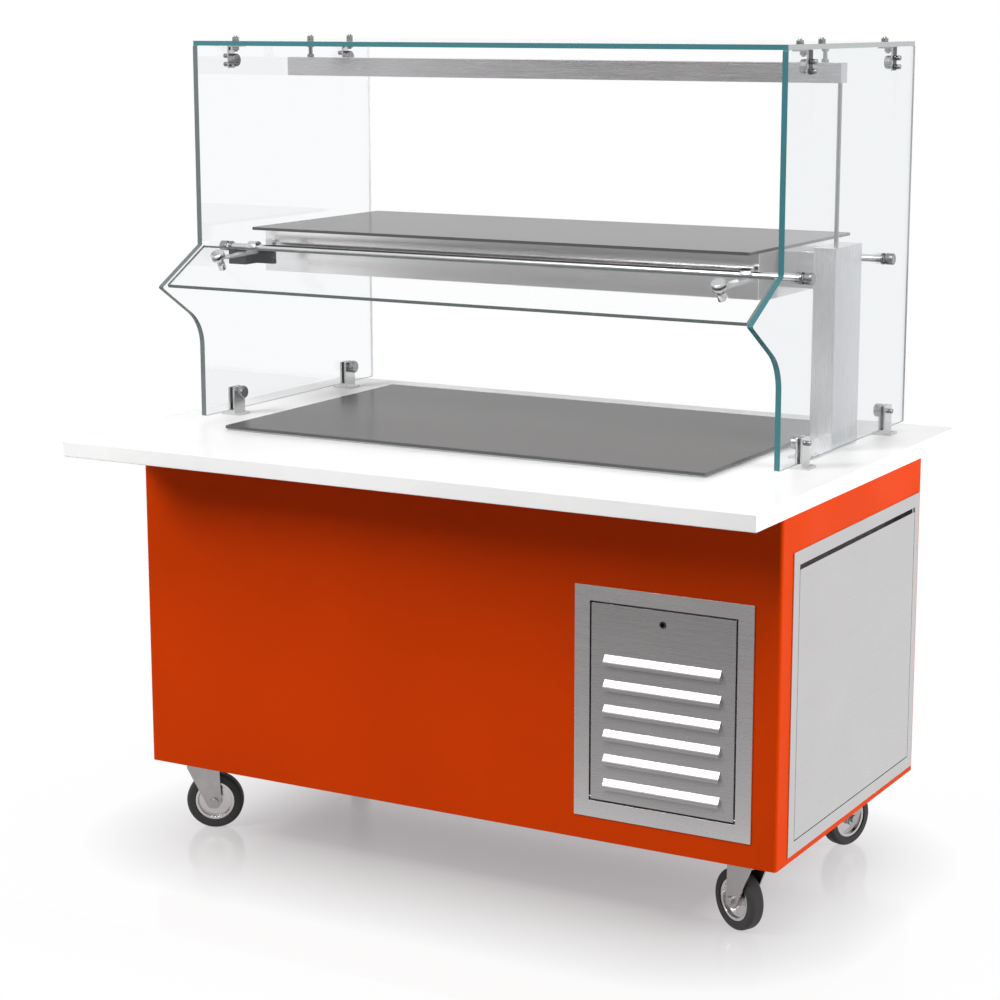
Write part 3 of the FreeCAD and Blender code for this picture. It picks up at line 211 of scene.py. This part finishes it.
def painted(name, colour, roughness, peel_scale=700.0, peel_height=0.02, rub=0.25, specular=0.5):
    """Paint on metal: a cloudy colour, a fine peel, and edges where it is rubbed thin."""
    made, tree, shader = material(name)
    shader.inputs["Specular IOR Level"].default_value = specular
    shade = shared(tree, cloud, Scale=2.5, Low=0.94, High=1.05)
    gloss = shared(tree, cloud, Scale=9.0, Low=roughness * 0.88, High=roughness * 1.12)
    rim = shared(tree, edge, Radius=0.0012)
    tinted = add(tree, "ShaderNodeVectorMath", operation="SCALE")
    tinted.inputs[0].default_value = colour
    lighter = add(tree, "ShaderNodeMix", data_type="RGBA")
    rubbed = [channel * rubbed_keeps + rubbed_adds for channel in colour]
    lighter.inputs["B"].default_value = (*rubbed, 1.0)
    amount = add(tree, "ShaderNodeMath", operation="MULTIPLY")
    amount.inputs[1].default_value = rub
    place = add(tree, "ShaderNodeTexCoord")
    peel = add(tree, "ShaderNodeTexNoise")
    peel.inputs["Scale"].default_value = peel_scale
    bump = add(tree, "ShaderNodeBump")
    bump.inputs["Strength"].default_value = peel_height
    bump.inputs["Distance"].default_value = peel_depth
    link = tree.links.new
    link(shade.outputs["Value"], tinted.inputs["Scale"])
    link(tinted.outputs["Vector"], lighter.inputs["A"])
    link(rim.outputs["Mask"], amount.inputs[0])
    link(amount.outputs["Value"], lighter.inputs["Factor"])
    link(lighter.outputs["Result"], shader.inputs["Base Color"])
    link(gloss.outputs["Value"], shader.inputs["Roughness"])
    link(place.outputs["Object"], peel.inputs["Vector"])
    link(peel.outputs["Fac"], bump.inputs["Height"])
    link(rim.outputs["Normal"], bump.inputs["Normal"])
    link(bump.outputs["Normal"], shader.inputs["Normal"])
    return made


orange = painted("orange_powder_coat", (0.62, 0.046, 0.001), 0.45, rub=0.04, specular=0.04)
for name in ("front_panel", "rear_panel", "left_end_panel", "right_end_panel"):
    wear(name, orange)
print("four panels are orange")

# %% [markdown]
# ## The white worktop
#
# The worktop is a smooth white slab.  It could be a flat colour, but a real slab is a little
# uneven.  The same paint, with a broader and weaker peel and no rubbed edges, gives that.

# %% White worktop
wear("worktop", painted("white_worktop", (0.90, 0.90, 0.895), 0.35, 90.0, 0.01, 0.0, 0.25))
print("the worktop is white")

# %% [markdown]
# ## Steel
#
# Brushed steel is grey metal whose gloss is broken up along one direction.  The grain group gives
# both the streaks in the roughness and the fine scratches in the surface.  Steel mostly shows what
# it mirrors, so the louvred door is made a little less metallic, to let its shadows show.

# %% Steel
scratch_depth = 0.0005


def steel(name, colour, roughness, stretch, scratch=0.02, metallic=1.0):
    """Brushed metal, with its scratches along the direction that is stretched least."""
    made, tree, shader = material(name)
    shader.inputs["Metallic"].default_value = metallic
    lines = shared(tree, grain, Stretch=stretch, Low=roughness * 0.8, High=roughness * 1.2)
    shade = shared(tree, cloud, Scale=4.0, Low=0.97, High=1.03)
    tinted = add(tree, "ShaderNodeVectorMath", operation="SCALE")
    tinted.inputs[0].default_value = colour
    rim = shared(tree, edge, Radius=0.0008)
    bump = add(tree, "ShaderNodeBump")
    bump.inputs["Strength"].default_value = scratch
    bump.inputs["Distance"].default_value = scratch_depth
    link = tree.links.new
    link(shade.outputs["Value"], tinted.inputs["Scale"])
    link(tinted.outputs["Vector"], shader.inputs["Base Color"])
    link(lines.outputs["Value"], shader.inputs["Roughness"])
    link(lines.outputs["Height"], bump.inputs["Height"])
    link(rim.outputs["Normal"], bump.inputs["Normal"])
    link(bump.outputs["Normal"], shader.inputs["Normal"])
    return made


print("steel maker ready")

# %% Kinds of steel
slow, fast = 8.0, 1400.0  # how often the noise changes along and across the scratches
along_x, along_y, along_z = (slow, fast, fast), (fast, slow, fast), (fast, fast, slow)
door_steel = steel("brushed_door_steel", (0.44, 0.43, 0.43), 0.3, along_x, 0.01, 0.7)
frame_steel = steel("brushed_frame_steel", (0.61, 0.60, 0.60), 0.3, along_x)
shelf_steel = steel("brushed_shelf_steel", (0.95, 0.94, 0.94), 0.16, along_x, 0.01)
bar_steel = steel("brushed_bar_metal", (0.62, 0.61, 0.62), 0.25, along_x, 0.01)
end_steel = steel("brushed_end_steel", (0.58, 0.57, 0.57), 0.32, along_y, 0.01)
post_steel = steel("brushed_post_steel", (0.72, 0.71, 0.71), 0.3, along_z, 0.01)
bright = steel("polished_steel", (0.62, 0.62, 0.62), 0.2, along_x, 0.0)
knob_steel = steel("dark_polished_steel", (0.3, 0.3, 0.3), 0.22, along_x, 0.0)
zinc = steel("galvanised_steel", (0.45, 0.46, 0.47), 0.45, (60.0, 60.0, 60.0), 0.05)
aluminium = steel("aluminium", (0.7, 0.7, 0.72), 0.4, along_x)
copper = steel("copper", (0.72, 0.36, 0.22), 0.25, along_x, 0.02)
castor_steel = steel("castor_steel", (0.42, 0.40, 0.40), 0.3, (40.0, 40.0, 40.0), 0.01)
castor_rim = steel("castor_rim", (0.6, 0.58, 0.58), 0.2, (40.0, 40.0, 40.0), 0.01)
print("thirteen metals made")

# %% Metal pieces
metals = {
    door_steel: ("louvre_door",),
    shelf_steel: ("shelf_body",),
    bar_steel: ("light_housing",),
    frame_steel: ("louvre_frame",),
    end_steel: ("side_door_frame", "side_door", "shelf_support_arm"),
    post_steel: ("upright", "upright_foot_plate"),
    bright: ("tie_rods", "glass_feet", "top_brackets", "upright_screws", "hinge_pins",
             "nose_clamp_arms", "nose_clamp_jaws"),
    knob_steel: ("glass_knobs", "top_fixings", "light_conduit"),
    zinc: ("base_frame", "corner_posts", "upper_frame", "floor_pan", "unit_tray", "deck_frame",
           "cold_plate", "fan_shroud", "insulated_pan"),
    aluminium: ("condenser",),
    copper: ("evaporator_coil",),
    castor_steel: ("castor_plates",),
}
for look, names in metals.items():
    for name in names:
        wear(name, look)
print("metal pieces finished")

# %% [markdown]
# ## Painted and moulded small pieces
#
# The brackets, the compressor, the fan and the tyres are dark and slightly rough, each in its own
# way.  They could each have a network of their own.  But paint, enamel, plastic and rubber differ
# here only in colour, gloss and the size of their unevenness, so the paint serves for all of them.
# The shelf brackets' near-black is a painted reflection: polished metal that mirrors something
# dark.

# %% Painted and moulded small pieces
# Near-black for the shelf brackets is a painted dark reflection of polished metal.
dark = painted("dark_bracket", (0.03, 0.028, 0.028), 0.3, specular=0.2)
opal = painted("opal_diffuser", (0.9, 0.9, 0.88), 0.4, 300.0, 0.01, 0.0)
enamel = painted("black_enamel", (0.02, 0.02, 0.022), 0.25)
plastic = painted("fan_plastic", (0.05, 0.05, 0.055), 0.45, 900.0, 0.03, 0.1)
rubber = painted("tyre", (0.026, 0.024, 0.024), 0.6, 1200.0, 0.05, 0.05)
wear("shelf_brackets", dark)
wear("light_diffuser", opal)
wear("led_board", opal)
wear("compressor", enamel)
wear("lock_barrel", enamel)
wear("fan_rotor", plastic)
castor_names = ("front_left", "front_right", "rear_left", "rear_right")
for corner in castor_names:
    wear("castor_fork_" + corner, castor_steel)
    wear("wheel_rim_" + corner, castor_rim)
    wear("tyre_" + corner, rubber)
print("small pieces finished")

# %% [markdown]
# ## Soft edges
#
# Folded sheet and turned metal have small round edges that catch the light.  The frame's meshes are
# loose triangles, so a Weld modifier joins them first and a Bevel modifier then rounds each edge
# that is sharper than 35 degrees.  Both stay live, so the frame's own meshes aren't touched.

# %% Softened pieces
join_distance = 0.00001  # corners nearer than this are one corner
sharp_edge = math.radians(35)


def soften(node_name, width):
    """Rounds the sharp edges of one piece of the frame."""
    weld = nodes[node_name].modifiers.new("weld", "WELD")
    weld.merge_threshold = join_distance
    round_off = nodes[node_name].modifiers.new("round", "BEVEL")
    round_off.width = width
    round_off.segments = 2
    round_off.angle_limit = sharp_edge


soft_edges = {
    0.0006: ("side_door_frame", "side_door", "shelf_body",
             "light_housing", "shelf_support_arm", "glass_knobs", "nose_clamp_jaws", "top_fixings",
             "upright_foot_plate", "unit_tray", "floor_pan"),
    0.001: ("glass_feet", "top_brackets", "shelf_brackets", "nose_clamp_arms", "castor_plates",
            "condenser", "fan_shroud", "compressor", "deck_frame"),
}
for width, names in soft_edges.items():
    for name in names:
        soften(name, width)
for corner in castor_names:
    soften("castor_fork_" + corner, 0.0008)
    soften("wheel_rim_" + corner, 0.0015)
print("edges softened")

# %% [markdown]
# ## Glass
#
# A pane of clear glass is nearly invisible on its broad faces and blue-green on its edges, because
# light that comes out of an edge has travelled a long way through the glass.  The colour is chosen
# by the direction that a face looks in: faces square to the pane's thickness are clear, and the
# edges are blue-green.  Some panes' edges, and edges that look one way, get grey, pale or soft
# copies of that colour, and the right end pane a darker clear: painted shade and painted light, for
# how each face is lit and seen.  The deck and the shelf are dark grey and show little behind them,
# so they are made without any light passing through.

# %% Looks of the glass
def look_of(name, colour, roughness, transmission, index):
    """A polished finish with an index of refraction, and faint smears in its gloss."""
    made, tree, shader = material(name)
    shader.inputs["Base Color"].default_value = (*colour, 1.0)
    shader.inputs["Transmission Weight"].default_value = transmission
    shader.inputs["IOR"].default_value = index
    smear = shared(tree, cloud, Scale=3.0, Low=roughness * 0.97, High=roughness * 1.03)
    tree.links.new(smear.outputs["Value"], shader.inputs["Roughness"])
    return made


clear = look_of("clear_glass", (0.945, 0.955, 0.968), 0.003, 1.0, 1.4)
# The teal edge is the glass's own colour; the darker right clear and the grey, pale and soft edges
# are painted shade and painted light.
shaded_clear_right = look_of("clear_glass_right_painted_shade", (0.865, 0.885, 0.905), 0.003, 1.0, 1.4)
clear_nose = look_of("clear_glass_nose", (0.98, 0.985, 0.99), 0.003, 1.0, 1.15)
teal_edge = look_of("glass_edge", (0.052, 0.19, 0.212), 0.25, 0.0, 1.3)
shaded_grey_edge = look_of("glass_edge_grey_painted_shade", (0.14, 0.165, 0.165), 0.3, 0.0, 1.3)
lit_pale_edge = look_of("glass_edge_painted_light", (0.78, 0.80, 0.82), 0.3, 0.0, 1.3)
shaded_soft_edge = look_of("glass_edge_soft_painted_shade", (0.31, 0.33, 0.335), 0.3, 0.0, 1.3)
deck_look = look_of("deck_glass", (0.084, 0.078, 0.076), 0.2, 0.0, 1.12)
shelf_look = look_of("shelf_glass", (0.125, 0.117, 0.117), 0.16, 0.0, 1.08)
deck_edge = look_of("grey_glass_edge", (0.09, 0.09, 0.09), 0.2, 0.0, 1.3)
print("glass looks made")

# %% Pane maker
square_on, leaning = 0.95, 0.5  # how far a face's direction agrees with the one asked for
ground_edge = math.radians(40)


def only(piece):
    """Selects one object alone and makes it the active one."""
    bpy.ops.object.select_all(action="DESELECT")
    piece.select_set(True)
    bpy.context.view_layer.objects.active = piece


def pane(node_name, thin_axis, broad_look, edge_look, arris=0.0008, other_look=None,
         other_way=(0.0, 1.0, 0.0)):
    """A pane on the outline of a piece of the frame, with ground edges and its finishes."""
    piece = bpy.data.objects.new(node_name + "_pane", nodes[node_name].data.copy())
    bpy.context.scene.collection.objects.link(piece)
    only(piece)
    bpy.ops.object.mode_set(mode="EDIT")
    bpy.ops.mesh.select_all(action="SELECT")
    bpy.ops.mesh.remove_doubles(threshold=join_distance)
    bpy.ops.object.mode_set(mode="OBJECT")
    bevel = piece.modifiers.new("arris", "BEVEL")
    bevel.width = arris
    bevel.segments = 2
    bevel.angle_limit = ground_edge
    bpy.ops.object.modifier_apply(modifier="arris")
    piece.data.materials.clear()
    for look in (broad_look, edge_look, other_look or edge_look):
        piece.data.materials.append(look)
    for face in piece.data.polygons:
        face.material_index = 0 if abs(face.normal.dot(Vector(thin_axis))) > square_on else 1
        if face.normal.dot(Vector(other_way)) > leaning and face.material_index == 1:
            face.material_index = 2
    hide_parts(node_name)
    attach(piece, body_of[node_name])
    return piece


print("pane maker ready")

# %% Six panes
body_of = {}
for body, names in frame["record"]["behaviour"]["bodies"].items():
    for name in names:
        body_of[name] = body
nose_normal = (0.0, 0.4836, -0.8753)
panes = [
    pane("end_glass_left", (1.0, 0.0, 0.0), clear, shaded_grey_edge, other_look=lit_pale_edge),
    pane("end_glass_right", (1.0, 0.0, 0.0), shaded_clear_right, teal_edge, other_look=shaded_soft_edge),
    pane("top_glass", (0.0, 0.0, 1.0), clear, teal_edge, other_look=shaded_soft_edge,
         other_way=(1.0, 0.0, 0.0)),
    pane("nose_glass", nose_normal, clear_nose, shaded_grey_edge),
]
for piece in panes:
    piece.visible_shadow = False
    piece.visible_diffuse = False
pane("deck_glass", (0.0, 0.0, 1.0), deck_look, deck_edge, 0.0006)
pane("shelf_glass", (0.0, 0.0, 1.0), shelf_look, deck_edge, 0.0006)
print("six panes made")

# %% [markdown]
# ## The floor
#
# The counter stands on a pale floor that keeps its shadow and a faint mirror image.  A wide floor
# would show a horizon.  So the floor fades to plain white by its distance from a rectangle under
# the counter, for what the camera sees, straight, mirrored or through glass.  Near the counter the
# floor glows at a slightly warm grey of its own, so the fade is also a painted shadow: soft, and
# darkest over the rectangle.  The rays that only carry light meet a plain matt floor, so the white
# isn't one more lamp.

# %% Seen rays
def seen_by_eye(tree):
    """1 for what the camera sees straight, in a mirror or through glass; 0 for the light itself."""
    path = add(tree, "ShaderNodeLightPath")
    through = add(tree, "ShaderNodeMath", operation="MAXIMUM")
    seen = add(tree, "ShaderNodeMath", operation="MAXIMUM")
    tree.links.new(path.outputs["Is Camera Ray"], through.inputs[0])
    tree.links.new(path.outputs["Is Transmission Ray"], through.inputs[1])
    tree.links.new(through.outputs["Value"], seen.inputs[0])
    tree.links.new(path.outputs["Is Glossy Ray"], seen.inputs[1])
    return seen


print("seen rays ready")

# %% Floor sheet
bpy.ops.object.select_all(action="DESELECT")
bpy.ops.mesh.primitive_plane_add(size=60.0, location=(0.0, 0.0, 0.0))
floor = bpy.context.object
floor.name = "floor"
print("floor sheet laid")

# %% Floor near the counter, with its painted shadow tone
floor_look, tree, shader = material("floor")
shader.inputs["Base Color"].default_value = (0.20, 0.195, 0.195, 1.0)
shader.inputs["Roughness"].default_value = 0.16
shader.inputs["Specular IOR Level"].default_value = 0.05
# This glow is painted shadow: a slightly warm grey near the counter, over a dim matt floor that
# adds only a little real shadow.
painted_shadow_tone = add(tree, "ShaderNodeEmission")
painted_shadow_tone.inputs["Color"].default_value = (0.335, 0.31, 0.315, 1.0)
gleam = add(tree, "ShaderNodeBsdfGlossy")
gleam.inputs["Roughness"].default_value = 0.12
matt = add(tree, "ShaderNodeBsdfDiffuse")
matt.inputs["Color"].default_value = (0.3, 0.3, 0.3, 1.0)
print("floor's own look made")

# %% Painted shadow by distance from the counter
# The painted shadow covers this rectangle and fades to white within the distance below.
painted_shadow_half_box = (0.5, 0.2, 0.0)
painted_shadow_reach = 0.42
gleam_share, gleam_full_to, gleam_gone_from = 0.06, 0.3, 0.9
place = add(tree, "ShaderNodeTexCoord")
either_side = add(tree, "ShaderNodeVectorMath", operation="ABSOLUTE")
past = add(tree, "ShaderNodeVectorMath", operation="SUBTRACT")
past.inputs[1].default_value = painted_shadow_half_box
outside = add(tree, "ShaderNodeVectorMath", operation="MAXIMUM")
outside.inputs[1].default_value = (0.0, 0.0, 0.0)
far = add(tree, "ShaderNodeVectorMath", operation="LENGTH")
# This fade paints the counter's soft shadow on the floor, and also hides the horizon.
painted_shadow_fade = add(tree, "ShaderNodeMapRange")
painted_shadow_fade.inputs["From Min"].default_value = 0.0
painted_shadow_fade.inputs["From Max"].default_value = painted_shadow_reach
wet = add(tree, "ShaderNodeMapRange")
wet.inputs["From Min"].default_value = gleam_full_to
wet.inputs["From Max"].default_value = gleam_gone_from
wet.inputs["To Min"].default_value = gleam_share
wet.inputs["To Max"].default_value = 0.0
link = tree.links.new
link(place.outputs["Object"], either_side.inputs[0])
link(either_side.outputs["Vector"], past.inputs[0])
link(past.outputs["Vector"], outside.inputs[0])
link(outside.outputs["Vector"], far.inputs[0])
link(far.outputs["Value"], painted_shadow_fade.inputs["Value"])
link(far.outputs["Value"], wet.inputs["Value"])
print("floor fades to white", painted_shadow_reach, "m away")

# %% Floor put together
out = tree.nodes["Material Output"]
polished = add(tree, "ShaderNodeMixShader")
lit = add(tree, "ShaderNodeAddShader")
bright_floor = add(tree, "ShaderNodeEmission")
plain = add(tree, "ShaderNodeMixShader")
shown = add(tree, "ShaderNodeMixShader")
link(painted_shadow_fade.outputs["Result"], plain.inputs["Fac"])
link(shader.outputs["BSDF"], lit.inputs[0])
link(painted_shadow_tone.outputs["Emission"], lit.inputs[1])
link(lit.outputs["Shader"], plain.inputs[1])
link(bright_floor.outputs["Emission"], plain.inputs[2])
link(seen_by_eye(tree).outputs["Value"], shown.inputs["Fac"])
link(matt.outputs["BSDF"], shown.inputs[1])
link(wet.outputs["Result"], polished.inputs["Fac"])
link(plain.outputs["Shader"], polished.inputs[1])
link(gleam.outputs["BSDF"], polished.inputs[2])
link(polished.outputs["Shader"], shown.inputs[2])
link(shown.outputs["Shader"], out.inputs["Surface"])
floor.data.materials.append(floor_look)
print("floor made")

# %% [markdown]
# ## The world around it
#
# A plain white backdrop stands behind the counter in the photograph.  A world that white would
# flood the object with light.  So the light of the world is weak, and only what the camera sees,
# straight, mirrored or through glass, is full white.

# %% World
world_light = 0.23
world = bpy.data.worlds.new("studio")
bpy.context.scene.world = world
world.use_nodes = True
tree = world.node_tree
soft = tree.nodes["Background"]
soft.inputs["Color"].default_value = (1.0, 1.0, 1.0, 1.0)
soft.inputs["Strength"].default_value = world_light
backdrop = add(tree, "ShaderNodeBackground")
backdrop.inputs["Color"].default_value = (1.0, 1.0, 1.0, 1.0)
both = add(tree, "ShaderNodeMixShader")
tree.links.new(seen_by_eye(tree).outputs["Value"], both.inputs["Fac"])
tree.links.new(soft.outputs["Background"], both.inputs[1])
tree.links.new(backdrop.outputs["Background"], both.inputs[2])
tree.links.new(both.outputs["Shader"], tree.nodes["World Output"].inputs["Surface"])
print("world made")

# %% [markdown]
# ## A grey card for the steel
#
# Polished steel has hardly any tone of its own, and in an all white room it would be white.  In
# the photograph it is grey, so it mirrors something darker.  A photographer lays out grey card.
# Here it is a sheet in front of the counter with a wall at its far end.  It glows in bands of
# grey, and only rays that have met a glossy surface see it.

# %% Grey card laid out
card_middle, card_half = (1.4, -4.65, 0.004), (7.1, 3.85, 1.0)
card_wall_height, card_far_end = 2.8, -8.0
bpy.ops.object.select_all(action="DESELECT")
bpy.ops.mesh.primitive_plane_add(size=2.0, location=card_middle)
card = bpy.context.object
card.name = "grey_card"
card.scale = card_half
bpy.ops.object.transform_apply(location=True, rotation=False, scale=True)
bpy.ops.object.mode_set(mode="EDIT")
bpy.ops.mesh.select_all(action="DESELECT")
bpy.ops.object.mode_set(mode="OBJECT")
for corner in card.data.vertices:
    corner.select = corner.co.y < card_far_end
bpy.ops.object.mode_set(mode="EDIT")
bpy.ops.mesh.extrude_edges_move(TRANSFORM_OT_translate={"value": (0.0, 0.0, card_wall_height)})
bpy.ops.object.mode_set(mode="OBJECT")
print("grey card laid out with", len(card.data.polygons), "faces")

# %% Tones of the card
card_reach = -10.0
card_tones = ((0.08, 0.64), (0.13, 0.60), (0.2, 0.33), (0.3, 0.29), (0.42, 0.8), (0.6, 0.8),
              (0.72, 0.24))
wall_fades_from = 1.9
card_look, tree, shader = material("grey_card")
place = add(tree, "ShaderNodeTexCoord")
parts = add(tree, "ShaderNodeSeparateXYZ")
near = add(tree, "ShaderNodeMapRange")
near.inputs["From Min"].default_value = 0.0
near.inputs["From Max"].default_value = card_reach
tones = add(tree, "ShaderNodeValToRGB")
for where, tone in card_tones:
    stop = tones.color_ramp.elements.new(where)
    stop.color = (tone, tone * 0.985, tone * 0.985, 1.0)
tones.color_ramp.elements.remove(tones.color_ramp.elements[0])
tones.color_ramp.elements.remove(tones.color_ramp.elements[-1])
height = add(tree, "ShaderNodeMapRange")
height.inputs["From Min"].default_value = wall_fades_from
height.inputs["From Max"].default_value = card_wall_height
faded = add(tree, "ShaderNodeMix", data_type="RGBA")
faded.inputs["B"].default_value = (1.0, 1.0, 1.0, 1.0)
glow = add(tree, "ShaderNodeEmission")
tree.links.new(place.outputs["Object"], parts.inputs["Vector"])
tree.links.new(parts.outputs["Y"], near.inputs["Value"])
tree.links.new(near.outputs["Result"], tones.inputs["Fac"])
tree.links.new(tones.outputs["Color"], faded.inputs["A"])
tree.links.new(parts.outputs["Z"], height.inputs["Value"])
tree.links.new(height.outputs["Result"], faded.inputs["Factor"])
tree.links.new(faded.outputs["Result"], glow.inputs["Color"])
print(len(card_tones), "tones on the card")

# %% Card for mirrored rays only
path = add(tree, "ShaderNodeLightPath")
mirrored = add(tree, "ShaderNodeMath", operation="GREATER_THAN")
mirrored.inputs[1].default_value = 0.5
unseen = add(tree, "ShaderNodeBsdfTransparent")
chosen = add(tree, "ShaderNodeMixShader")
tree.links.new(path.outputs["Glossy Depth"], mirrored.inputs[0])
tree.links.new(mirrored.outputs["Value"], chosen.inputs["Fac"])
tree.links.new(unseen.outputs["BSDF"], chosen.inputs[1])
tree.links.new(glow.outputs["Emission"], chosen.inputs[2])
tree.links.new(chosen.outputs["Shader"], tree.nodes["Material Output"].inputs["Surface"])
card.data.materials.append(card_look)
card.visible_camera = False
card.visible_diffuse = False
card.visible_shadow = False
print("the card shows in reflections only")

# %% [markdown]
# ## The lamps
#
# Five soft lamps light the counter: two from the front, one from the right, one from behind, and a
# glint that is there for reflections alone and draws the bright strips on the louvres.  Three of
# them are kept out of reflections, where they would show as white squares in glass and steel.  No
# lamp is seen by the camera, straight or through a pane.

# %% Lamps
def lamp(name, place, aim, size, power, in_mirrors=True, gives_light=True):
    """A square soft lamp at a place, turned towards a point."""
    light = bpy.data.lights.new(name, "AREA")
    light.size = size
    light.energy = power
    holder = bpy.data.objects.new(name, light)
    bpy.context.scene.collection.objects.link(holder)
    holder.location = place
    way = Vector(aim) - Vector(place)
    holder.rotation_euler = way.to_track_quat("-Z", "Y").to_euler()
    holder.visible_camera = False
    holder.visible_transmission = False
    holder.visible_glossy = in_mirrors
    holder.visible_diffuse = gives_light


lamp("front_left", (-2.6, -3.5, 3.2), (-0.5, 0.0, 0.6), 1.6, 140.0, in_mirrors=False)
lamp("glint", (-1.0, -4.2, 4.4), (0.3, -0.3, 0.5), 2.2, 150.0, gives_light=False)
lamp("front_high", (1.2, -3.0, 5.0), (0.3, 0.0, 0.6), 1.6, 118.0)
lamp("right", (5.0, 0.7, 1.9), (0.7, 0.0, 0.8), 3.0, 255.0, in_mirrors=False)
lamp("rear", (-2.0, 5.0, 2.0), (0.0, 0.0, 0.8), 3.0, 150.0, in_mirrors=False)
bpy.context.scene.view_settings.view_transform = "Standard"
print("lamps made")

# %% [markdown]
# ## The end
#
# Finishes must not change the counter's size.  This cell only marks the end of the script.

# %% The end
print("the end")
